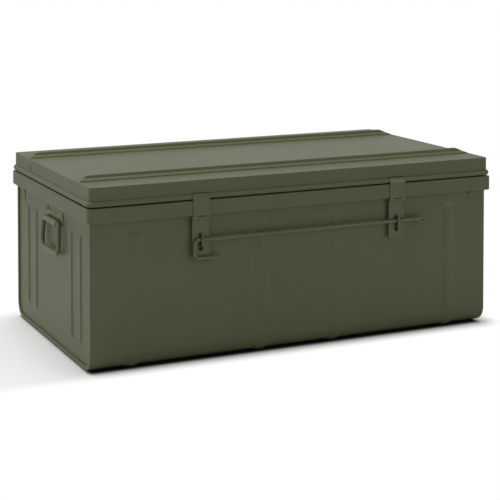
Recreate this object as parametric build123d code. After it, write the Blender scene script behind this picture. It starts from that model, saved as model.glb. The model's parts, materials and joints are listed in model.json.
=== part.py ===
from build123d import *
import math
import os

# A sheet-steel field trunk in millimetres, +Z up. The origin is the centre of its footprint, on the
# floor. X runs along the front, -Y is the front, and everything near the rim is measured from the rim.

os.makedirs("parts", exist_ok=True)

# Sheet and overall size: the lid's walls stand outside the case's walls
SHEET = 0.8
MARGIN = 1.0  # how far a cut runs past what it cuts
LID_LENGTH = 750.0
LID_DEPTH = 421.0
LID_RISE = 27.0  # lid panel above the rim bead's centre
CASE_INSET_X = 4.6  # end panel inside the lid wall, at each end
CASE_INSET_Y = 5.8  # front and back walls inside the lid wall
RIM_Z = 274.0  # centre of the lid's rim bead above the floor
BEND_R = 27.0  # walls bent round into the floor
HEM_WIDTH = 6.5  # folded edge round each end panel
HEM_LAYERS = 3
HEM_EDGE_R = 0.9
END_EDGE = 3.0  # end panel's edge inside the walls' outer face

# Rim: a wired bead round the lid, and a channel band round the case under it
BEAD_R = 4.7
BEND_ROOM = 0.4
WIRE_GAP = 0.1
LID_EDGE_R = 1.6
LID_GAP = 1.2  # bead above the band
BAND_HEIGHT = 25.1
BAND_EDGE_R = 2.0
BAND_CORNER_R = 6.0
COLLAR_GAP = 0.8  # collar inside the bead
COLLAR_HEIGHT = 11.2
COLLAR_CORNER_R = 3.0
SEAM_GAP = 0.4
SEAM_FROM_END = 39.0  # front seam to the lid's end
SEAM_FROM_BACK = 38.0  # left seam to the lid's back
TONGUE_WIDTH = 11.0
TONGUE_DROP = 11.0
TONGUE_SIDE = 0.5  # tongue beside its seam

# Pressed ribs
RIB_HEIGHT = 2.6
RIB_HALF_BASE = 13.5
RIB_HALF_CREST = 4.0
RIB_ROUND = 16.0
RIB_TOP_DROP = 49.0  # rib tops under the rim
RIB_TOP_RAMP = 8.0
RIB_X = (-298.0, -70.0, 70.0, 298.0)
END_RIB_HEIGHT = 2.0
END_RIB_HALF_BASE = 11.0
END_RIB_HALF_CREST = 8.0
END_RIB_ROUND = 3.0
END_RIB_FOOT_Z = 36.0
END_RIB_TOP_DROP = 57.0
END_RIB_RAMP = 9.0
END_RIB_Y = (-146.0, -99.0, 99.0, 146.0)
LID_RIB_HEIGHT = 9.0
LID_RIB_Y = (-137.5, 137.5)
LID_RIB_RAMP = 20.0
LID_RIB_ROUND = 0.8
LID_RIB_STEPS = ((15.5, 0.0), (14.3, 2.0), (6.8, 4.2), (4.6, 8.0), (2.6, 9.0))

# Hasps: a strap rolled round the rim wire in a notch of the bead, and a slotted plate hinged behind it
HASP_X = 185.0
HASP_WIDTH = 30.0
HASP_SHEET = 1.2
STRAP_GAP = 0.2
NOTCH_GAP = 0.9  # round the strap, in the bead
STRAP_JOGGLE = 4.0  # strap's step out from the roll, under the rim
STRAP_ROLL_END = 50.0  # degrees that the roll goes on below the rim, behind the wire
HASP_PIN_DROP = 34.2  # hasp pin under the rim
HASP_PIN_R = 1.5
PIN_GAP = 0.05
KNUCKLE_GAP = 0.3
HASP_KNUCKLE = 14.8
PLATE_DROP = 67.8  # plate's foot under its pin
PLATE_CORNER_R = 3.0
PLATE_SLOT_WIDTH = 8.0
PLATE_SLOT_TOP = 25.4  # slot's ends under the pin
PLATE_SLOT_FOOT = 55.4

# Closing rod in two staples
ROD_R = 3.0
ROD_DROP = 36.5  # rod under the hasp pin
ROD_GAP = 0.3
ROD_BEND_R = 8.0
GRIP_X = -197.0
GRIP_DROP = 30.5
GRIP_REACH = 45.0
EYE_X = 234.5
EYE_R = 5.5
EYE_HOLE_R = 2.75
EYE_SHEET = 3.0
EYE_TAPER = 12.0
STAPLE_R = 1.6
STAPLE_RISE = 9.2  # staple's upper leg above the rod
STAPLE_ROOM = 0.4
STAPLE_BEND_R = 4.0
STAPLE_CLINCH_R = 2.0
STAPLE_CLINCH = 8.0
STAPLE_HOLE_GAP = 0.3
STAPLE_SEAT = 0.05

# Lid hinges
HINGE_DROP = 6.0  # hinge pin under the rim
HINGE_X = 230.0
HINGE_LENGTH = 50.0
HINGE_SHEET = 1.5
HINGE_PIN_R = 2.0
HINGE_STAND = 0.2
HINGE_BARREL = 16.0
LEAF_FOOT = 23.0
LEAF_STEP = 11.5
LEAF_TOP = 28.0
LEAF_RIVET_X = 17.0
LEAF_RIVET_EDGE = 8.5

# Lid stay: a slotted bar on a lid rivet, over a stud as far below the hinge as the rivet is above it
STAY_FROM_BACK = 92.5  # stay in front of the lid's back
STAY_RISE = 17.0
STAY_OPEN = 100.0
STAY_HALF_WIDTH = 8.0
STAY_SHEET = 2.0
STAY_SIDE_GAP = 1.0  # bar inside the collar
STUD_R = 2.5
STUD_PLAY = 0.3
STUD_HEAD_R = 4.5
STUD_HEAD = 1.5

# Carrying handles
HANDLE_Y = -12.5
HANDLE_DROP = 59.5  # bail's axis under the rim
HANDLE_SHEET = 1.2
HANDLE_STAND = 0.3
BAIL_R = 3.9
BAIL_GAP = 0.1
BAIL_HALF_TOP = 42.0
BAIL_HALF_FOOT = 47.0
BAIL_HEIGHT = 50.0
BAIL_LEAN = 2.5  # bail's foot stands out from its axis
BAIL_TOP_R = 6.0
BAIL_FOOT_R = 14.0
SLEEVE_HALF = 35.5
PLATE_HALF = 51.0
PLATE_EAR = 20.0
PLATE_DIP = 6.0
EAR_WIDTH = 14.0
EAR_SLOPE = 10.0
EAR_R = 4.0

# Rivets
RIVET_R = 1.5
RIVET_FIT = 0.05
RIVET_HEAD_R = 3.2
RIVET_HEAD = 1.4
RIVET_TAIL_R = 2.6
RIVET_TAIL = 0.8
DOME_SHARE = 0.9  # share of a head's height that is rounded

# Worked-out places
CASE_LENGTH = LID_LENGTH - 2 * CASE_INSET_X
CASE_DEPTH = LID_DEPTH - 2 * CASE_INSET_Y
CASE_X = CASE_LENGTH / 2
CASE_Y = CASE_DEPTH / 2
HEM_X = CASE_X + HEM_LAYERS * SHEET
PAN_Z = RIB_HEIGHT
PAN_TOP_Z = PAN_Z + BEND_R
LID_TOP_Z = RIM_Z + LID_RISE
LID_CORNER_R = BEAD_R + SHEET / 2 + BEND_ROOM
BEAD_X = (LID_LENGTH - SHEET) / 2
BEAD_Y = (LID_DEPTH - SHEET) / 2
BAND_X = BEAD_X + BEAD_R
BAND_Y = BEAD_Y + BEAD_R
BAND_TOP_Z = RIM_Z - BEAD_R - LID_GAP
BAND_FOOT_Z = BAND_TOP_Z - BAND_HEIGHT
WALL_TOP_Z = BAND_TOP_Z - SHEET
WIRE_R = BEAD_R - SHEET - WIRE_GAP
COLLAR_X = BEAD_X - BEAD_R - COLLAR_GAP
COLLAR_Y = BEAD_Y - BEAD_R - COLLAR_GAP
SEAM_X = LID_LENGTH / 2 - SEAM_FROM_END
SEAM_Y = LID_DEPTH / 2 - SEAM_FROM_BACK
RIB_TOP_Z = RIM_Z - RIB_TOP_DROP
END_RIB_TOP_Z = RIM_Z - END_RIB_TOP_DROP
STRAP_BACK_Y = -(BAND_Y + STRAP_GAP)
STRAP_FRONT_Y = STRAP_BACK_Y - HASP_SHEET
STRAP_BORE_R = WIRE_R + PIN_GAP
STRAP_ROLL_R = STRAP_BORE_R + HASP_SHEET
HASP_KNUCKLE_R = HASP_PIN_R + PIN_GAP + HASP_SHEET
HASP_PIN_Y = STRAP_FRONT_Y + HASP_KNUCKLE_R
HASP_PIN_Z = RIM_Z - HASP_PIN_DROP
PLATE_BACK_Y = HASP_PIN_Y + HASP_KNUCKLE_R
PLATE_FRONT_Y = PLATE_BACK_Y - HASP_SHEET
ROD_Y = PLATE_FRONT_Y - ROD_GAP - ROD_R
ROD_Z = HASP_PIN_Z - ROD_DROP
EYE_Z = ROD_Z + ROD_R - EYE_R
STAPLE_FOOT_Z = EYE_Z - EYE_R - ROD_GAP - STAPLE_R
STAPLE_TOP_Z = ROD_Z + STAPLE_RISE
STAPLE_FRONT_Y = ROD_Y - ROD_R - STAPLE_ROOM - STAPLE_R
STAPLE_BACK_Y = -CASE_Y + SHEET + STAPLE_SEAT + STAPLE_R
HINGE_KNUCKLE_R = HINGE_PIN_R + PIN_GAP + HINGE_SHEET
HINGE_Y = BAND_Y + HINGE_STAND + HINGE_KNUCKLE_R
HINGE_Z = RIM_Z - HINGE_DROP
STAY_Y = LID_DEPTH / 2 - STAY_FROM_BACK
STAY_X = -(COLLAR_X - SHEET - STAY_SIDE_GAP)
STAY_PIVOT_Z = HINGE_Z + STAY_RISE
STUD_Z = HINGE_Z - STAY_RISE
HANDLE_Z = RIM_Z - HANDLE_DROP
SLEEVE_R = BAIL_R + BAIL_GAP + HANDLE_SHEET
BAIL_X = CASE_X + HANDLE_STAND + SLEEVE_R
BASE = (Align.CENTER, Align.CENTER, Align.MIN)


def block(x, y, z):
    """A box between two values on each axis."""
    size = [high - low for low, high in (x, y, z)]
    middle = [(low + high) / 2 for low, high in (x, y, z)]
    return Pos(*middle) * Box(*size)


def slab(length, depth, corner, low, high):
    """A rounded rectangle standing from one height to another."""
    return extrude(Plane.XY.offset(low) * RectangleRounded(length, depth, corner), high - low)


def fuse(shapes):
    """All shapes as one."""
    shapes = list(shapes)
    return shapes[0].fuse(*shapes[1:]) if len(shapes) > 1 else shapes[0]


def rod_along_x(radius, x, y, z):
    """A round bar along X between two values."""
    low, high = x
    return Pos(low, y, z) * Rot(0, 90, 0) * Cylinder(radius, high - low, align=BASE)


def side_pieces(make):
    """The same piece at both ends of the case, the right one mirrored from the left one."""
    left = make()
    return left, mirror(left, about=Plane.YZ)


def save(name, *solids):
    """Write one node."""
    shape = solids[0] if len(solids) == 1 else Compound(children=list(solids))
    export_step(shape, f"parts/{name}.step")


def rivet(at, out, grip):
    """A rivet: domed head on the given point, shank through the grip, flat tail behind it."""
    head = Cylinder(RIVET_HEAD_R, RIVET_HEAD, align=BASE)
    head = fillet(head.edges().sort_by(Axis.Z)[-1], RIVET_HEAD * DOME_SHARE)
    shank = Pos(0, 0, -grip) * Cylinder(RIVET_R, grip + RIVET_HEAD / 2, align=BASE)
    tail = Pos(0, 0, -grip - RIVET_TAIL) * Cylinder(RIVET_TAIL_R, RIVET_TAIL, align=BASE)
    return Plane(origin=at, z_dir=out) * fuse([head, shank, tail])


def hole(at, out, depth, radius=RIVET_R + RIVET_FIT):
    """A round hole of a given depth behind a point, and as far in front of it."""
    return Plane(origin=at, z_dir=out) * Cylinder(radius, 2 * depth)


# Pressed ribs: a solid bead and the hollow behind it, both run along a line on a sheet's outer face


def rib_section(steps, round_r, shrink=0.0):
    """The section of a rib, its sheet's outer face at zero, with a foot sunk into the sheet."""
    sink = SHEET / 2 + shrink
    right = [(half - shrink, height - shrink) for half, height in steps]
    left = [(-half, height) for half, height in reversed(right)]
    foot = right[0][0]
    face = make_face(Polyline((foot, -sink), *right, *left, (-foot, -sink), close=True))
    return fillet([corner for corner in face.vertices() if corner.Y > SHEET / 2], round_r)


def rib_run(section, start, along, out, length, ramps, height, shrink=0.0):
    """A section run along a line, with its ends ramped down to the sheet."""
    start = Vector(*start)
    along = Vector(*along)
    out = Vector(*out)
    across = out.cross(along)
    bar = extrude(Plane(origin=start, x_dir=across, z_dir=along) * section, length, dir=along)
    first, last = ramps
    deep = 2 * SHEET
    side = Polyline(
        (0, -deep),
        (shrink if first else 0, -shrink),
        (first + shrink if first else 0, height),
        (length - last - (shrink if last else 0), height),
        (length - (shrink if last else 0), -shrink),
        (length, -deep),
        close=True,
    )
    profile = Plane(origin=start, x_dir=along, z_dir=along.cross(out)) * make_face(side)
    return bar & extrude(profile, 3 * RIB_HALF_BASE, both=True)


def pressed(panel, runs):
    """A sheet with ribs pressed out of it. Each run is called once for the bead, once for its hollow."""
    beads = [run(0.0) for run in runs]
    hollows = [run(SHEET) for run in runs]
    return fuse([panel, *beads]) - fuse(hollows)


WALL_RIB = ((RIB_HALF_BASE, 0.0), (RIB_HALF_CREST, RIB_HEIGHT))
END_RIB = ((END_RIB_HALF_BASE, 0.0), (END_RIB_HALF_CREST, END_RIB_HEIGHT))


# Case


def trough(half_length, inset):
    """A block along X with the case's section: upright walls bent round into the floor."""
    tall = 2 * RIM_Z
    section = RectangleRounded(CASE_DEPTH - 2 * inset, tall, BEND_R - inset)
    return extrude(Plane.YZ * Pos(0, PAN_Z + inset + tall / 2) * section, half_length, both=True)


def case_block():
    """The case as a solid block, its end panels set back behind folded edges."""
    outer = trough(HEM_X, 0.0)
    ends = outer.faces().sort_by(Axis.X)
    outer = fillet(ends[0].edges() + ends[-1].edges(), HEM_EDGE_R)
    recess = trough(HEM_X + MARGIN, HEM_WIDTH)
    recess -= block((-CASE_X, CASE_X), (-CASE_Y, CASE_Y), (0, 3 * RIM_Z))
    return outer - recess


def end_blank(side):
    """The left (-1) or right (+1) end panel as a flat sheet, its edges under the folded ones."""
    sheet = block(sorted((side * CASE_X, side * (CASE_X - SHEET))), (-CASE_Y, CASE_Y), (0, WALL_TOP_Z))
    return trough(CASE_X, END_EDGE) & sheet


def case_sheet():
    """The sheet bent round the front, floor and back, without the two end panels."""
    return case_block() - trough(CASE_X - SHEET, SHEET) - end_blank(-1) - end_blank(1)


def skid(x, shrink):
    """A rib that wraps under the pan from the front wall to the back wall."""
    half = CASE_Y - BEND_R
    front = JernArc((-CASE_Y, PAN_TOP_Z), (0, -1), BEND_R, 90)
    under = Line((-half, PAN_Z), (half, PAN_Z))
    back = JernArc((half, PAN_Z), (1, 0), BEND_R, 90)
    path = Wire([Plane.YZ.offset(x) * edge for edge in (front, under, back)])
    start = Plane(origin=(x, -CASE_Y, PAN_TOP_Z), x_dir=(1, 0, 0), z_dir=(0, 0, -1))
    return sweep(start * rib_section(WALL_RIB, RIB_ROUND, shrink), path=path)


def bottom_pan():
    """The floor with its rounded edges and the four skids."""
    pan = case_sheet() & block((-HEM_X, HEM_X), (-CASE_Y, CASE_Y), (0, PAN_TOP_Z))
    return pressed(pan, [lambda shrink, x=x: skid(x, shrink) for x in RIB_X])


def long_panel(side):
    """The front (-1) or back (+1) wall, with its folded edges and four ribs."""
    y = sorted((0, side * CASE_Y))
    wall = case_sheet() & block((-HEM_X, HEM_X), y, (PAN_TOP_Z, WALL_TOP_Z))
    length = RIB_TOP_Z - PAN_TOP_Z

    def run(shrink, x):
        section = rib_section(WALL_RIB, RIB_ROUND, shrink)
        start = (x, side * CASE_Y, PAN_TOP_Z)
        ramps = (0, RIB_TOP_RAMP)
        return rib_run(section, start, (0, 0, 1), (0, side, 0), length, ramps, RIB_HEIGHT, shrink)

    return pressed(wall, [lambda shrink, x=x: run(shrink, x) for x in RIB_X])


def front_panel():
    """The front wall, bored for the staples' legs and the front tongue's rivet."""
    panel = long_panel(-1)
    for x in (-HASP_X, HASP_X):
        for z in (STAPLE_FOOT_Z, STAPLE_TOP_Z):
            panel -= hole((x, -CASE_Y, z), (0, -1, 0), 2 * SHEET, STAPLE_R + STAPLE_HOLE_GAP)
    at, out = tongue_rivets()[0]
    return panel - hole(at, out, 3 * SHEET)


def end_panel(side):
    """The left (-1) or right (+1) wall with four ribs, bored for the handle's rivets."""
    length = END_RIB_TOP_Z - END_RIB_FOOT_Z

    def run(shrink, y):
        section = rib_section(END_RIB, END_RIB_ROUND, shrink)
        start = (side * CASE_X, y, END_RIB_FOOT_Z)
        ramps = (END_RIB_RAMP, END_RIB_RAMP)
        return rib_run(section, start, (0, 0, 1), (side, 0, 0), length, ramps, END_RIB_HEIGHT, shrink)

    panel = pressed(end_blank(side), [lambda shrink, y=y: run(shrink, y) for y in END_RIB_Y])
    for at, out in handle_rivets(side):
        panel -= hole(at, out, 3 * SHEET)
    return panel


def left_end_panel():
    """The left wall, also bored for the stay's stud and the left tongue's rivet."""
    at, out = tongue_rivets()[1]
    stud = hole((-CASE_X, STAY_Y, STUD_Z), (-1, 0, 0), 2 * SHEET, STUD_R + RIVET_FIT)
    return end_panel(-1) - stud - hole(at, out, 3 * SHEET)


# Rim band and collar


def tongue_rivets():
    """Seat and direction of the two rivets that hold the tongues, on the front and on the left."""
    z = BAND_FOOT_Z - TONGUE_DROP / 2
    aside = TONGUE_SIDE + TONGUE_WIDTH / 2
    front = (SEAM_X + aside, -CASE_Y - SHEET, z)
    left = (-CASE_X - SHEET, SEAM_Y - aside, z)
    return (front, (0, -1, 0)), (left, (-1, 0, 0))


def tongue(at, out):
    """A strip's riveted tongue: a small plate on the wall below the band."""
    plate = RectangleRounded(TONGUE_WIDTH, 2 * TONGUE_DROP, TONGUE_WIDTH / 4)
    plane = Plane(origin=at, x_dir=(out[1], -out[0], 0), z_dir=out)
    body = extrude(plane * Pos(0, TONGUE_DROP / 2) * plate, -SHEET)
    return body & block((-BAND_X, BAND_X), (-BAND_Y, BAND_Y), (0, BAND_FOOT_Z + SHEET / 2))


def band_block(inset):
    """The block that fills the band's outer or inner surface."""
    length = 2 * (BAND_X - inset)
    depth = 2 * (BAND_Y - inset)
    body = slab(length, depth, BAND_CORNER_R - inset, BAND_FOOT_Z + inset, BAND_TOP_Z - inset)
    edges = body.faces().sort_by(Axis.Z)[-1].edges() + body.faces().sort_by(Axis.Z)[0].edges()
    return fillet(edges, BAND_EDGE_R - inset)


def collar_ring():
    """The upstand inside the lid, from the band's top flange."""
    corner = COLLAR_CORNER_R
    top = BAND_TOP_Z + COLLAR_HEIGHT
    outer = slab(2 * COLLAR_X, 2 * COLLAR_Y, corner, BAND_TOP_Z - SHEET, top)
    inner = slab(2 * (COLLAR_X - SHEET), 2 * (COLLAR_Y - SHEET), corner - SHEET, 0, top + MARGIN)
    return outer, inner


def rim_bands():
    """The band in two strips: the front and left one, and the back and right one, each with a tongue."""
    collar, bore = collar_ring()
    case = case_block() & block((-HEM_X, HEM_X), (-CASE_Y, CASE_Y), (0, WALL_TOP_Z))
    ring = band_block(0.0) - band_block(SHEET) - case + collar - bore
    x = BAND_X + MARGIN
    y = BAND_Y + MARGIN
    tall = (0, LID_TOP_Z)

    def corner_blocks(gap):
        front = block((-x, SEAM_X + gap), (-y, 0), tall)
        left = block((-x, 0), (-y, SEAM_Y + gap), tall)
        return fuse([front, left])

    kept = ring & corner_blocks(-SEAM_GAP / 2)
    beyond = ring - corner_blocks(SEAM_GAP / 2)
    front_seat, left_seat = tongue_rivets()
    kept = kept + tongue(*left_seat) - hole(*left_seat, 2 * SHEET)
    beyond = beyond + tongue(*front_seat) - hole(*front_seat, 2 * SHEET)
    for at, out in leaf_rivets(False):
        beyond -= hole(at, out, HINGE_STAND + HINGE_SHEET + 2 * SHEET)
    return kept, beyond


# Lid


def half_loop(start):
    """Half of the bead's centre line, round the back from the right end to the left one."""
    corners = [(BEAD_X, start), (BEAD_X, BEAD_Y), (-BEAD_X, BEAD_Y), (-BEAD_X, start)]
    return Pos(0, 0, RIM_Z) * FilletPolyline(*corners, radius=LID_CORNER_R - SHEET / 2)


def bead(radius):
    """A round bar all the way round the lid's rim."""
    section = Plane(origin=(BEAD_X, 0, RIM_Z), x_dir=(1, 0, 0), z_dir=(0, 1, 0)) * Circle(radius)
    back = sweep(section, path=half_loop(0))
    return back + mirror(back, about=Plane.XZ)


def lid_block(inset):
    """The block that fills the lid's outer or inner surface."""
    length = LID_LENGTH - 2 * inset
    depth = LID_DEPTH - 2 * inset
    foot = RIM_Z + BEAD_R - SHEET / 2
    body = slab(length, depth, LID_CORNER_R - inset, foot, LID_TOP_Z - inset)
    return fillet(body.faces().sort_by(Axis.Z)[-1].edges(), LID_EDGE_R - inset)


def lid_shell():
    """The lid: panel, walls and hollow bead in one sheet, with two ribs and a notch for each strap."""
    length = LID_LENGTH - 2 * LID_EDGE_R

    def run(shrink, y):
        section = rib_section(LID_RIB_STEPS, LID_RIB_ROUND, shrink)
        ramps = (LID_RIB_RAMP, LID_RIB_RAMP)
        start = (-length / 2, y, LID_TOP_Z)
        return rib_run(section, start, (1, 0, 0), (0, 0, 1), length, ramps, LID_RIB_HEIGHT, shrink)

    shell = lid_block(0.0) - lid_block(SHEET)
    shell = pressed(shell, [lambda shrink, y=y: run(shrink, y) for y in LID_RIB_Y])
    shell = shell + bead(BEAD_R) - bead(BEAD_R - SHEET)
    half = HASP_WIDTH / 2 + NOTCH_GAP
    deep = BEAD_R + MARGIN
    for x in (-HASP_X, HASP_X):
        high = (RIM_Z - deep, RIM_Z + STRAP_ROLL_R + NOTCH_GAP)
        shell -= block((x - half, x + half), (-BEAD_Y - deep, -BEAD_Y + deep), high)
    for at, out in leaf_rivets(True):
        shell -= hole(at, out, 2 * HINGE_SHEET + SHEET)
    pivot = (-LID_LENGTH / 2, STAY_Y, STAY_PIVOT_Z)
    return shell - hole(pivot, (-1, 0, 0), 2 * SHEET, STUD_R + RIVET_FIT)


# Hasps


def hasp_bore(x):
    """The bore through a hasp's knuckles."""
    half = HASP_WIDTH / 2 + MARGIN
    return rod_along_x(HASP_PIN_R + PIN_GAP, (x - half, x + half), HASP_PIN_Y, HASP_PIN_Z)


def hasp_strap(x):
    """The strap: rolled round the rim wire, stepped out over the band, with two knuckles at its foot."""
    half = HASP_WIDTH / 2
    knuckle = HASP_KNUCKLE / 2 + KNUCKLE_GAP
    far = 2 * STRAP_ROLL_R
    drop = far * math.tan(math.radians(STRAP_ROLL_END))
    roll = Circle(STRAP_ROLL_R) - Circle(STRAP_BORE_R)
    roll -= make_face(Polyline((0, 0), (far, -drop), (-far, -drop), (-far, 0), close=True))
    leaf = Polyline(
        (STRAP_FRONT_Y, HASP_PIN_Z),
        (STRAP_FRONT_Y, RIM_Z - STRAP_JOGGLE),
        (-BEAD_Y - STRAP_ROLL_R, RIM_Z),
        (-BEAD_Y - STRAP_BORE_R, RIM_Z),
        (STRAP_BACK_Y, RIM_Z - STRAP_JOGGLE),
        (STRAP_BACK_Y, HASP_PIN_Z),
        close=True,
    )
    middle = Plane.YZ.offset(x)
    roll = extrude(middle * Pos(-BEAD_Y, RIM_Z) * roll, half, both=True)
    leaf = extrude(middle * make_face(leaf), half, both=True)
    room = HASP_PIN_Z + HASP_KNUCKLE_R + KNUCKLE_GAP
    leaf -= block((x - knuckle, x + knuckle), (STRAP_FRONT_Y - MARGIN, STRAP_BACK_Y + MARGIN), (0, room))
    width = (half - knuckle) / 2
    places = (x - knuckle - width, x + knuckle + width)
    spans = [(at - width, at + width) for at in places]
    knuckles = [rod_along_x(HASP_KNUCKLE_R, span, HASP_PIN_Y, HASP_PIN_Z) for span in spans]
    return fuse([leaf, roll, *knuckles]) - hasp_bore(x)


def hasp_plate(x):
    """The hinged plate, slotted for its staple."""
    half = HASP_WIDTH / 2
    knuckle = HASP_KNUCKLE / 2
    foot = HASP_PIN_Z - PLATE_DROP
    plate = block((x - half, x + half), (PLATE_FRONT_Y, PLATE_BACK_Y), (foot, HASP_PIN_Z))
    corners = plate.edges().filter_by(Axis.Y).group_by(Axis.Z)[0]
    plate = fillet(corners, PLATE_CORNER_R)
    middle = HASP_PIN_Z - (PLATE_SLOT_TOP + PLATE_SLOT_FOOT) / 2
    slot = Rot(0, 0, 90) * SlotOverall(PLATE_SLOT_FOOT - PLATE_SLOT_TOP, PLATE_SLOT_WIDTH)
    plate -= Pos(x, PLATE_BACK_Y, middle) * extrude(Plane.XZ * slot, 2 * HASP_SHEET, both=True)
    low = HASP_PIN_Z - HASP_KNUCKLE_R - KNUCKLE_GAP
    for side in (-1, 1):
        reach = sorted((x + side * knuckle, x + side * (half + MARGIN)))
        depth = (PLATE_FRONT_Y - MARGIN, PLATE_BACK_Y + MARGIN)
        plate -= block(reach, depth, (low, HASP_PIN_Z + MARGIN))
    plate += rod_along_x(HASP_KNUCKLE_R, (x - knuckle, x + knuckle), HASP_PIN_Y, HASP_PIN_Z)
    return plate - hasp_bore(x)


def hasp_pin(x):
    """The pin through a hasp's knuckles, a little longer than they are."""
    half = HASP_WIDTH / 2 + HASP_PIN_R
    return rod_along_x(HASP_PIN_R, (x - half, x + half), HASP_PIN_Y, HASP_PIN_Z)


# Closing rod and its staples


def closing_rod():
    """The rod: turned-back grip at its left end, flattened padlock eye at its right end."""
    end = EYE_X - EYE_HOLE_R - ROD_GAP
    path = FilletPolyline(
        (end, ROD_Y, ROD_Z),
        (GRIP_X, ROD_Y, ROD_Z),
        (GRIP_X, ROD_Y, ROD_Z - GRIP_DROP),
        (GRIP_X + GRIP_REACH, ROD_Y, ROD_Z - GRIP_DROP),
        radius=ROD_BEND_R,
    )
    bar = sweep(Plane(origin=(end, ROD_Y, ROD_Z), z_dir=(-1, 0, 0)) * Circle(ROD_R), path=path)
    top = EYE_Z + EYE_R
    outline = Polyline(
        (EYE_X - EYE_R - EYE_TAPER, top),
        (EYE_X, top),
        (EYE_X, EYE_Z - EYE_R),
        (EYE_X - EYE_R, EYE_Z - EYE_R / 2),
        (EYE_X - EYE_R - EYE_TAPER, ROD_Z - ROD_R / 2),
        close=True,
    )
    place = Pos(0, ROD_Y, 0)
    neck = place * extrude(Plane.XZ * make_face(outline), EYE_SHEET / 2, both=True)
    disc = place * extrude(Plane.XZ * Pos(EYE_X, EYE_Z) * Circle(EYE_R), EYE_SHEET / 2, both=True)
    bore = place * extrude(Plane.XZ * Pos(EYE_X, EYE_Z) * Circle(EYE_HOLE_R), 2 * EYE_SHEET, both=True)
    return fuse([bar, neck, disc]) - bore


def rod_staple(x):
    """A bent-wire staple: legs through the front wall, clinched up and down behind it."""
    path = FilletPolyline(
        (x, STAPLE_BACK_Y, STAPLE_TOP_Z + STAPLE_CLINCH),
        (x, STAPLE_BACK_Y, STAPLE_TOP_Z),
        (x, STAPLE_FRONT_Y, STAPLE_TOP_Z),
        (x, STAPLE_FRONT_Y, STAPLE_FOOT_Z),
        (x, STAPLE_BACK_Y, STAPLE_FOOT_Z),
        (x, STAPLE_BACK_Y, STAPLE_FOOT_Z - STAPLE_CLINCH),
        radius=[STAPLE_CLINCH_R, STAPLE_BEND_R, STAPLE_BEND_R, STAPLE_CLINCH_R],
    )
    start = Plane(origin=(x, STAPLE_BACK_Y, STAPLE_TOP_Z + STAPLE_CLINCH), z_dir=(0, 0, -1))
    return sweep(start * Circle(STAPLE_R), path=path)


# Lid hinges


def leaf_rivets(on_lid):
    """Seat and direction of the rivets through the lid's leaves, or through the case's."""
    lid_seat = (LID_DEPTH / 2 + HINGE_SHEET, HINGE_Z + LEAF_TOP - LEAF_STEP / 2)
    case_seat = (BAND_Y + HINGE_STAND + HINGE_SHEET, HINGE_Z - LEAF_FOOT + LEAF_RIVET_EDGE)
    y, z = lid_seat if on_lid else case_seat
    places = [x + side * LEAF_RIVET_X for x in (-HINGE_X, HINGE_X) for side in (-1, 1)]
    return [((x, y, z), (0, 1, 0)) for x in places]


def hinge_leaf(x, on_lid):
    """One leaf of a hinge: knuckles round the pin and a plate, joggled in to the lid's wall."""
    half = HINGE_LENGTH / 2
    middle = HINGE_BARREL / 2
    gap = KNUCKLE_GAP / 2
    plate_y = (BAND_Y + HINGE_STAND, BAND_Y + HINGE_STAND + HINGE_SHEET)
    wide = (x - half, x + half)
    if on_lid:
        wall = LID_DEPTH / 2
        low = HINGE_Z + LEAF_STEP
        rise = plate_y[0] - wall
        step = Polyline(
            (plate_y[0], HINGE_Z),
            (plate_y[0], low),
            (wall, low + rise),
            (wall, HINGE_Z + LEAF_TOP),
            (wall + HINGE_SHEET, HINGE_Z + LEAF_TOP),
            (wall + HINGE_SHEET, low + rise + HINGE_SHEET / 2),
            (plate_y[1], low + HINGE_SHEET / 2),
            (plate_y[1], HINGE_Z),
            close=True,
        )
        plate = Pos(x, 0, 0) * extrude(Plane.YZ * make_face(step), half, both=True)
        spans = [(x - middle + gap, x + middle - gap)]
        cuts = [(x - half - MARGIN, x - middle + gap), (x + middle - gap, x + half + MARGIN)]
        clear = (HINGE_Z - HINGE_KNUCKLE_R - MARGIN, HINGE_Z + HINGE_KNUCKLE_R + KNUCKLE_GAP)
    else:
        plate = block(wide, (BAND_Y, plate_y[1]), (HINGE_Z - LEAF_FOOT, HINGE_Z))
        plate &= block(wide, (BAND_Y, plate_y[1]), (0, BAND_TOP_Z - BAND_EDGE_R))
        plate += block(wide, plate_y, (BAND_TOP_Z - BAND_EDGE_R, HINGE_Z))
        spans = [(x - half, x - middle - gap), (x + middle + gap, x + half)]
        cuts = [(x - middle - gap, x + middle + gap)]
        clear = (HINGE_Z - HINGE_KNUCKLE_R - KNUCKLE_GAP, HINGE_Z + HINGE_KNUCKLE_R + MARGIN)
    for cut in cuts:
        plate -= block(cut, (BAND_Y - MARGIN, plate_y[1] + MARGIN), clear)
    leaf = fuse([plate, *[rod_along_x(HINGE_KNUCKLE_R, span, HINGE_Y, HINGE_Z) for span in spans]])
    leaf -= rod_along_x(HINGE_PIN_R + PIN_GAP, (x - half - MARGIN, x + half + MARGIN), HINGE_Y, HINGE_Z)
    for at, out in leaf_rivets(on_lid):
        leaf -= hole(at, out, HINGE_STAND + HINGE_SHEET + SHEET / 2)
    return leaf


def hinge_pin(x):
    """A hinge's pin, flush with its knuckles."""
    half = HINGE_LENGTH / 2
    return rod_along_x(HINGE_PIN_R, (x - half, x + half), HINGE_Y, HINGE_Z)


# Lid stay


def stay_distance(angle):
    """From the stay's rivet to its stud with the lid open by an angle, both equally far from the hinge."""
    arm = math.hypot(HINGE_Y - STAY_Y, STAY_RISE)
    closed = math.asin(STAY_RISE / arm)
    return 2 * arm * math.sin(closed + math.radians(angle) / 2)


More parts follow.
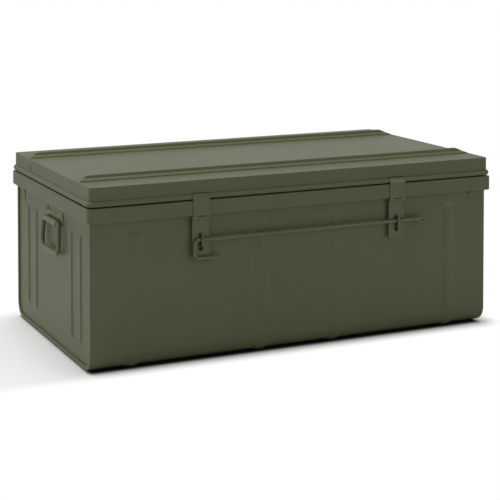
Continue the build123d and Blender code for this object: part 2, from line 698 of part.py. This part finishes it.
def lid_stay():
    """The slotted bar, hanging from the lid's rivet."""
    first = stay_distance(0)
    last = stay_distance(STAY_OPEN)
    outline = SlotCenterToCenter(last, 2 * STAY_HALF_WIDTH)
    slot = SlotCenterToCenter(last - first, 2 * (STUD_R + STUD_PLAY))
    bar = Pos(-last / 2, 0) * outline - Pos(-(first + last) / 2, 0) * slot
    bar -= Circle(STUD_R + PIN_GAP)
    upright = Plane(origin=(STAY_X, STAY_Y, STAY_PIVOT_Z), x_dir=(0, 0, 1), z_dir=(1, 0, 0))
    return extrude(upright * bar, STAY_SHEET)


def stay_post(seat_x, z, outer_x):
    """A shouldered stud through a left wall, with its outer head, spacer and inner head."""
    gap = STUD_PLAY
    inner = STAY_X + STAY_SHEET + gap
    shank = rod_along_x(STUD_R, (outer_x, inner + STUD_HEAD), STAY_Y, z)
    spacer = rod_along_x(STUD_HEAD_R, (seat_x + SHEET, STAY_X - gap), STAY_Y, z)
    head = rod_along_x(STUD_HEAD_R, (inner, inner + STUD_HEAD), STAY_Y, z)
    cap = rod_along_x(STUD_HEAD_R, (outer_x, seat_x), STAY_Y, z)
    cap = fillet(cap.edges().sort_by(Axis.X)[0], (seat_x - outer_x) * DOME_SHARE)
    return fuse([shank, spacer, head, cap])


# Handles


def handle_rivets(side):
    """Seat and direction of a handle plate's two rivets."""
    x = side * (CASE_X + HANDLE_SHEET)
    z = HANDLE_Z + PLATE_EAR - EAR_WIDTH / 2
    half = PLATE_HALF - EAR_WIDTH / 2
    return [((x, HANDLE_Y + way * half, z), (side, 0, 0)) for way in (-1, 1)]


def handle_plate():
    """The left handle's plate: two ears, a dip between them, and a rolled sleeve for the bail."""
    top = PLATE_EAR
    dip = PLATE_EAR - PLATE_DIP
    ear = PLATE_HALF - EAR_WIDTH
    points = [(PLATE_HALF, 0), (PLATE_HALF, top), (ear, top), (ear - EAR_SLOPE, dip)]
    points += [(-y, z) for y, z in reversed(points)]
    face = make_face(Polyline(*points, close=True))
    face = fillet([corner for corner in face.vertices() if corner.Y > dip - MARGIN], EAR_R)
    place = Plane(origin=(-CASE_X, HANDLE_Y, HANDLE_Z), x_dir=(0, 1, 0), z_dir=(1, 0, 0))
    plate = extrude(place * face, -HANDLE_SHEET)
    plane = Plane(origin=(-BAIL_X, HANDLE_Y, HANDLE_Z), z_dir=(0, 1, 0))
    plate += plane * Cylinder(SLEEVE_R, 2 * SLEEVE_HALF)
    plate -= plane * Cylinder(BAIL_R + BAIL_GAP, 2 * PLATE_HALF)
    for at, out in handle_rivets(-1):
        plate -= hole(at, out, HANDLE_SHEET)
    return plate


def bail():
    """The left handle's bail: a closed loop of round bar through the sleeve, hanging."""
    middle = HANDLE_Y
    foot = HANDLE_Z - BAIL_HEIGHT
    out = -BAIL_X - BAIL_LEAN
    path = FilletPolyline(
        (-BAIL_X, middle, HANDLE_Z),
        (-BAIL_X, middle + BAIL_HALF_TOP, HANDLE_Z),
        (out, middle + BAIL_HALF_FOOT, foot),
        (out, middle, foot),
        radius=[BAIL_TOP_R, BAIL_FOOT_R],
    )
    half = sweep(Plane(origin=(-BAIL_X, middle, HANDLE_Z), z_dir=(0, 1, 0)) * Circle(BAIL_R), path=path)
    return half + mirror(half, about=Plane.XZ.offset(-middle))


# Nodes

hasps = {"left": -HASP_X, "right": HASP_X}
hinges = (-HINGE_X, HINGE_X)
rim_band_front, rim_band_back = rim_bands()
plate_left, plate_right = side_pieces(handle_plate)
bail_left, bail_right = side_pieces(bail)

save("bottom_pan", bottom_pan())
save("front_panel", front_panel())
save("back_panel", long_panel(1))
save("left_end_panel", left_end_panel())
save("right_end_panel", end_panel(1))
save("rim_band_front", rim_band_front)
save("rim_band_back", rim_band_back)
save("rim_rivets", *[rivet(*seat, 2 * SHEET) for seat in tongue_rivets()])
save("rod_staples", *[rod_staple(x) for x in hasps.values()])
save("hinge_leaves_case", *[hinge_leaf(x, False) for x in hinges])
save("hinge_leaves_lid", *[hinge_leaf(x, True) for x in hinges])
save("hinge_pins", *[hinge_pin(x) for x in hinges])
leaf_grip = HINGE_SHEET + SHEET
save("hinge_rivets_case", *[rivet(*seat, HINGE_STAND + leaf_grip) for seat in leaf_rivets(False)])
save("hinge_rivets_lid", *[rivet(*seat, leaf_grip) for seat in leaf_rivets(True)])
save("lid_shell", lid_shell())
save("lid_rim_wire", bead(WIRE_R))
save("lid_stay", lid_stay())
save("stay_rivet", stay_post(-LID_LENGTH / 2, STAY_PIVOT_Z, -LID_LENGTH / 2 - STUD_HEAD))
save("stay_stud", stay_post(-CASE_X, STUD_Z, -CASE_X - STUD_HEAD))
save("closing_rod", closing_rod())
for name, x in hasps.items():
    save(f"hasp_strap_{name}", hasp_strap(x))
    save(f"hasp_plate_{name}", hasp_plate(x))
    save(f"hasp_pin_{name}", hasp_pin(x))
save("handle_plate_left", plate_left)
save("handle_plate_right", plate_right)
handle_seats = handle_rivets(-1) + handle_rivets(1)
save("handle_rivets", *[rivet(*seat, HANDLE_SHEET + SHEET) for seat in handle_seats])
save("bail_left", bail_left)
save("bail_right", bail_right)
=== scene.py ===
import json
import math

import bpy
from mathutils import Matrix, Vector

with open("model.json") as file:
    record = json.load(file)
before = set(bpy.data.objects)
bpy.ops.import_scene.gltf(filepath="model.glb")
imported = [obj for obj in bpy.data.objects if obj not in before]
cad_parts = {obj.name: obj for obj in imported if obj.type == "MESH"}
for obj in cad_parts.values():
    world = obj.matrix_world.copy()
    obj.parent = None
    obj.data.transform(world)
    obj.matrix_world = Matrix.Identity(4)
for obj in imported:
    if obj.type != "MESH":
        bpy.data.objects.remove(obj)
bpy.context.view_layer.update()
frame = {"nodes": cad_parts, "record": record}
scene = bpy.context.scene
record = frame["record"]

# Camera: a long lens from the front left, dipped a little, with its frame brought down by the lens shift
CAMERA_AT = (-1.0984, -2.3453, 0.6956)
CAMERA_YAW = 25.16  # to the right of straight ahead, degrees
CAMERA_DIP = 2.41  # below the horizon, degrees
CAMERA_FOCUS = 2.8669  # focal length over the picture's width
CAMERA_SHIFT_Y = -0.5048
CAMERA_CLIP = 50.0  # how far it sees, metres
SENSOR = 36.0  # millimetres

# Lights: (name, place, point lit, width, height, power in watts, colour)
LIGHTS = (
    ("key_top", (-0.5, 0.3, 2.6), (0.0, 0.0, 0.2), 2.0, 1.2, 24.0, (1.0, 1.0, 1.0)),
    ("side_left", (-2.8, 0.9, 1.0), (0.0, 0.0, 0.2), 2.0, 1.6, 5.0, (0.98, 0.99, 1.0)),
    ("front_right", (2.0, -2.6, 1.5), (0.0, 0.0, 0.2), 0.9, 0.9, 6.5, (1.0, 1.0, 0.98)),
)
AMBIENT = 0.22
BACKDROP = 0.50  # brightness of the surround behind the part, where AMBIENT is that of the rest
BACKDROP_WAY = (-0.30, 0.93, 0.20)  # where the brighter part lies
BACKDROP_EDGE = 0.6  # how squarely a direction points there to have its full brightness
FLOOR_HALF = 6.0
FLOOR_TONE = 0.85
FLOOR_GAIN = 1.6  # how much brighter the camera sees it
FLOOR_LEFT = 0.07  # share of the distance beyond the left end that counts as it burns out
FOOT_HALF = (0.364, 0.190)  # half the length and depth of what nearly touches the floor
PAINTED_SHADOW_WIDTH = 0.012  # width of the painted contact shadow on the floor under the part's edge, metres
PAINTED_SHADOW_TONE = 0.05  # share of the floor's tone left at the part's edge by the painted contact shadow
FLOOR_FADE = (0.0, 0.05)  # from the part's edge to where the floor is burnt out to white, metres

# Enamels: (dark tone, light tone, least roughness, most roughness)
ENAMELS = {
    "olive_panel": ((0.142, 0.156, 0.072), (0.158, 0.173, 0.082), 0.34, 0.44),
    # The fittings' tones are lighter than the panels' by about a tenth, in part a painted highlight standing
    # in for the brighter gloss on the rod and straps
    "olive_fitting": ((0.152, 0.167, 0.078), (0.174, 0.190, 0.091), 0.24, 0.36),
}


def node_maker(tree):
    """A short way to add a node with its settings and links."""

    def add(kind, inputs=None, **settings):
        node = tree.nodes.new(kind)
        for key, value in settings.items():
            setattr(node, key, value)
        for key, value in (inputs or {}).items():
            if isinstance(value, bpy.types.NodeSocket):
                tree.links.new(value, node.inputs[key])
            else:
                node.inputs[key].default_value = value
        return node

    return add


def new_material(name):
    """An empty node material, and the short way to add to it."""
    material = bpy.data.materials.new(name)
    material.use_nodes = True
    material.node_tree.nodes.clear()
    return material, node_maker(material.node_tree)


def ramp(add, factor, stops):
    """A colour ramp over a factor, from (position, value or colour) stops."""
    node = add("ShaderNodeValToRGB", {"Fac": factor})
    elements = node.color_ramp.elements
    while len(elements) < len(stops):
        elements.new(0.5)
    for element, (position, value) in zip(elements, stops):
        colour = value if isinstance(value, tuple) else (value, value, value)
        element.position = position
        element.color = (*colour, 1.0)
    return node.outputs["Color"]


def enamel(name, shadowed_tone, light, rough_low, rough_high):
    """Satin enamel on sheet steel: mottled colour, uneven gloss, orange peel and a slight wave."""
    material, add = new_material(name)
    place = add("ShaderNodeTexCoord").outputs["Object"]
    clouds = add("ShaderNodeTexNoise", {"Vector": place, "Scale": 5.0, "Detail": 5.0, "Roughness": 0.55})
    specks = add("ShaderNodeTexNoise", {"Vector": place, "Scale": 260.0, "Detail": 3.0, "Roughness": 0.6})
    peel = add("ShaderNodeTexNoise", {"Vector": place, "Scale": 700.0, "Detail": 2.0, "Roughness": 0.5})
    wave = add("ShaderNodeTexNoise", {"Vector": place, "Scale": 7.0, "Detail": 1.5, "Roughness": 0.4})
    mottled = ramp(add, clouds.outputs["Fac"], ((0.35, shadowed_tone), (0.65, light)))
    speckled = add(
        "ShaderNodeMix",
        {0: 0.3, 6: mottled, 7: ramp(add, specks.outputs["Fac"], ((0.4, shadowed_tone), (0.62, light)))},
        data_type="RGBA",
    )
    rough = ramp(add, clouds.outputs["Fac"], ((0.3, rough_low), (0.7, rough_high)))
    sheet = add("ShaderNodeBump", {"Strength": 0.25, "Distance": 0.0015, "Height": wave.outputs["Fac"]})
    skin = add(
        "ShaderNodeBump",
        {
            "Strength": 0.12,
            "Distance": 0.0002,
            "Height": peel.outputs["Fac"],
            "Normal": sheet.outputs["Normal"],
        },
    )
    shader = add(
        "ShaderNodeBsdfPrincipled",
        {"Base Color": speckled.outputs[2], "Roughness": rough, "Normal": skin.outputs["Normal"]},
    )
    add("ShaderNodeOutputMaterial", {"Surface": shader.outputs["BSDF"]})
    return material


def bare_steel():
    """Dull drawn steel for pins and wire."""
    material, add = new_material("bare_steel")
    place = add("ShaderNodeTexCoord").outputs["Object"]
    drawn = add("ShaderNodeMapping", {"Vector": place, "Scale": (4.0, 300.0, 300.0)})
    lines = add("ShaderNodeTexNoise", {"Vector": drawn.outputs["Vector"], "Scale": 1.0, "Detail": 4.0})
    tone = ramp(add, lines.outputs["Fac"], ((0.3, (0.30, 0.30, 0.29)), (0.7, (0.52, 0.52, 0.50))))
    rough = ramp(add, lines.outputs["Fac"], ((0.3, 0.5), (0.7, 0.3)))
    shader = add("ShaderNodeBsdfPrincipled", {"Base Color": tone, "Roughness": rough, "Metallic": 1.0})
    add("ShaderNodeOutputMaterial", {"Surface": shader.outputs["BSDF"]})
    return material


def dress_cad_nodes():
    """Give every CAD node its slot's material."""
    looks = {name: enamel(name, *tones) for name, tones in ENAMELS.items()}
    looks["bare_steel"] = bare_steel()
    slots = {part["node"]: part["material_slot"] for part in record["subparts"]}
    for name, node in frame["nodes"].items():
        node.data.materials.clear()
        node.data.materials.append(looks[slots[name]])


def aim(thing, target):
    """Point an object's -Z at a target."""
    direction = Vector(target) - thing.location
    thing.rotation_euler = direction.to_track_quat("-Z", "Y").to_euler()


def add_camera():
    """The camera at the picture's own place and angle."""
    camera = bpy.data.objects.new("camera", bpy.data.cameras.new("camera"))
    scene.collection.objects.link(camera)
    camera.data.sensor_width = SENSOR
    camera.data.lens = CAMERA_FOCUS * SENSOR
    camera.data.shift_y = CAMERA_SHIFT_Y
    camera.data.clip_end = CAMERA_CLIP
    yaw, dip = math.radians(CAMERA_YAW), math.radians(CAMERA_DIP)
    ahead = Vector((math.sin(yaw) * math.cos(dip), math.cos(yaw) * math.cos(dip), -math.sin(dip)))
    camera.location = CAMERA_AT
    camera.rotation_euler = ahead.to_track_quat("-Z", "Y").to_euler()
    scene.camera = camera


def add_lights():
    """Soft studio lights and a pale surround."""
    for name, place, target, width, height, power, colour in LIGHTS:
        data = bpy.data.lights.new(name, "AREA")
        data.shape = "RECTANGLE"
        data.size, data.size_y = width, height
        data.energy = power
        data.color = colour
        light = bpy.data.objects.new(name, data)
        light.location = place
        aim(light, target)
        scene.collection.objects.link(light)
    world = bpy.data.worlds.new("surround")
    scene.world = world
    world.use_nodes = True
    world.node_tree.nodes.clear()
    add = node_maker(world.node_tree)
    way = add("ShaderNodeTexCoord").outputs["Generated"]
    facing = add("ShaderNodeVectorMath", {0: way, 1: BACKDROP_WAY}, operation="DOT_PRODUCT")
    wall = add(
        "ShaderNodeMapRange",
        {
            "Value": facing.outputs["Value"],
            "From Min": 0.0,
            "From Max": BACKDROP_EDGE,
            "To Min": AMBIENT,
            "To Max": BACKDROP,
        },
        interpolation_type="SMOOTHSTEP",
    )
    seen = add("ShaderNodeBackground", {"Color": (1.0, 1.0, 1.0, 1.0), "Strength": 1.0})
    lit = add("ShaderNodeBackground", {"Color": (1.0, 1.0, 1.0, 1.0), "Strength": wall.outputs["Result"]})
    is_seen = add("ShaderNodeLightPath").outputs["Is Camera Ray"]
    mixed = add("ShaderNodeMixShader", {0: is_seen, 1: lit.outputs[0], 2: seen.outputs[0]})
    add("ShaderNodeOutputWorld", {"Surface": mixed.outputs[0]})


def floor_material():
    """A pale floor that burns out to white away from the part, as seen from the camera, with a painted
    contact shadow darkening it under the part's edge.
    """
    material, add = new_material("floor")
    place = add("ShaderNodeNewGeometry").outputs["Position"]
    parts = add("ShaderNodeSeparateXYZ", {"Vector": place})

    def past(value, edge):
        """How far a coordinate is past an edge."""
        beyond = add("ShaderNodeMath", {0: value, 1: -edge}, operation="ADD").outputs["Value"]
        return add("ShaderNodeMath", {0: beyond, 1: 0.0}, operation="MAXIMUM").outputs["Value"]

    def distance(left_share):
        """How far a place is from the part's footprint, with a share of what is beyond its left end."""
        slow = add("ShaderNodeMath", {0: left, 1: left_share}, operation="MULTIPLY").outputs["Value"]
        sideways = add("ShaderNodeMath", {0: slow, 1: right}, operation="ADD").outputs["Value"]
        both = add("ShaderNodeCombineXYZ", {"X": sideways, "Y": ahead, "Z": 0.0})
        return add("ShaderNodeVectorMath", {0: both.outputs["Vector"]}, operation="LENGTH").outputs["Value"]

    mirrored = add("ShaderNodeMath", {0: parts.outputs["X"], 1: -1.0}, operation="MULTIPLY").outputs["Value"]
    deep = add("ShaderNodeMath", {0: parts.outputs["Y"]}, operation="ABSOLUTE").outputs["Value"]
    left = past(mirrored, FOOT_HALF[0])
    right = past(parts.outputs["X"], FOOT_HALF[0])
    ahead = past(deep, FOOT_HALF[1])
    fade = add(
        "ShaderNodeMapRange",
        {"Value": distance(FLOOR_LEFT), "From Min": FLOOR_FADE[0], "From Max": FLOOR_FADE[1]},
        interpolation_type="SMOOTHSTEP",
    )
    is_seen = add("ShaderNodeLightPath").outputs["Is Camera Ray"]
    burn = add("ShaderNodeMath", {0: fade.outputs["Result"], 1: is_seen}, operation="MULTIPLY")
    tone = add(
        "ShaderNodeMapRange", {"Value": is_seen, "To Min": FLOOR_TONE, "To Max": FLOOR_TONE * FLOOR_GAIN}
    )
    # Painted contact shadow: the floor's tone is darkened towards the part's edge
    painted_shadow = add(
        "ShaderNodeMapRange", {"Value": distance(1.0), "From Max": PAINTED_SHADOW_WIDTH, "To Min": PAINTED_SHADOW_TONE}
    )
    shadowed_tone = add(
        "ShaderNodeMath", {0: tone.outputs["Result"], 1: painted_shadow.outputs["Result"]}, operation="MULTIPLY"
    )
    pale = add("ShaderNodeBsdfDiffuse", {"Color": shadowed_tone.outputs["Value"]})
    white = add("ShaderNodeEmission", {"Color": (1.0, 1.0, 1.0, 1.0), "Strength": 1.0})
    mixed = add("ShaderNodeMixShader", {0: burn.outputs["Value"], 1: pale.outputs[0], 2: white.outputs[0]})
    add("ShaderNodeOutputMaterial", {"Surface": mixed.outputs[0]})
    return material


def add_floor():
    """A plain pale floor, with a painted contact shadow under the part's edge."""
    mesh = bpy.data.meshes.new("floor")
    h = FLOOR_HALF
    mesh.from_pydata([(-h, -h, 0), (h, -h, 0), (h, h, 0), (-h, h, 0)], [], [(0, 1, 2, 3)])
    floor = bpy.data.objects.new("floor", mesh)
    scene.collection.objects.link(floor)
    mesh.materials.append(floor_material())


scene.view_settings.view_transform = "Standard"
dress_cad_nodes()
add_camera()
add_lights()
add_floor()
